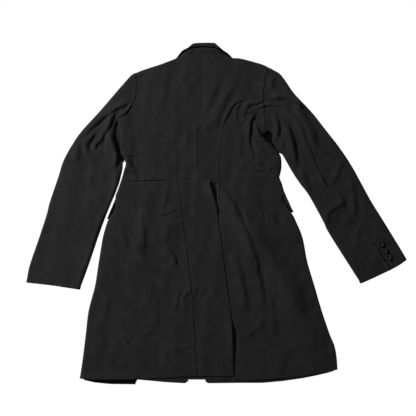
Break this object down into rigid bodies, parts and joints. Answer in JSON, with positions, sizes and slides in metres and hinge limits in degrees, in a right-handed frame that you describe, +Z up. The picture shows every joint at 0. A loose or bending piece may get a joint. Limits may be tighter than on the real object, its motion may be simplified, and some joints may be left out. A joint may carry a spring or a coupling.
{
  "type": "tailored long jacket laid flat, face down",
  "caption": "Black tailored long jacket, frock-coat cut, lying face down with arms spread: princess seams, waist seam, pleated skirt, raised collar and buttoned cuff.",
  "frame": {"origin": "middle of the garment's outline seen from above, on the surface it lies on", "axes": "+X to the wearer's right sleeve, +Y to the collar, +Z up from the surface, out of the garment's back"},
  "size_m": [1.0236, 0.9215, 0.0179],
  "materials": {
    "jacket_cloth": "black cotton and wool twill, matt with a faint sheen on the raised folds",
    "button_black": "black polished resin, four-hole, with a raised rim"
  },
  "bodies": {
    "root": {"back_left": "jacket_cloth", "back_right": "jacket_cloth", "side_back_left": "jacket_cloth", "side_back_right": "jacket_cloth", "side_left": "jacket_cloth", "side_right": "jacket_cloth", "front_left": "jacket_cloth", "front_right": "jacket_cloth", "skirt_left": "jacket_cloth", "skirt_centre": "jacket_cloth", "pleat_underlay": "jacket_cloth", "skirt_right": "jacket_cloth", "skirt_front_left": "jacket_cloth", "skirt_front_right": "jacket_cloth", "pocket_flap_left": "jacket_cloth", "pocket_flap_right": "jacket_cloth", "sleeve_left_back": "jacket_cloth", "sleeve_left_front": "jacket_cloth", "sleeve_right_under": "jacket_cloth", "sleeve_right_upper": "jacket_cloth", "sleeve_right_front": "jacket_cloth", "under_collar_left": "jacket_cloth", "under_collar_right": "jacket_cloth", "collar_leaf": "jacket_cloth", "cuff_button_1": "button_black", "cuff_button_2": "button_black", "cuff_button_3": "button_black"}
  },
  "joints": []
}
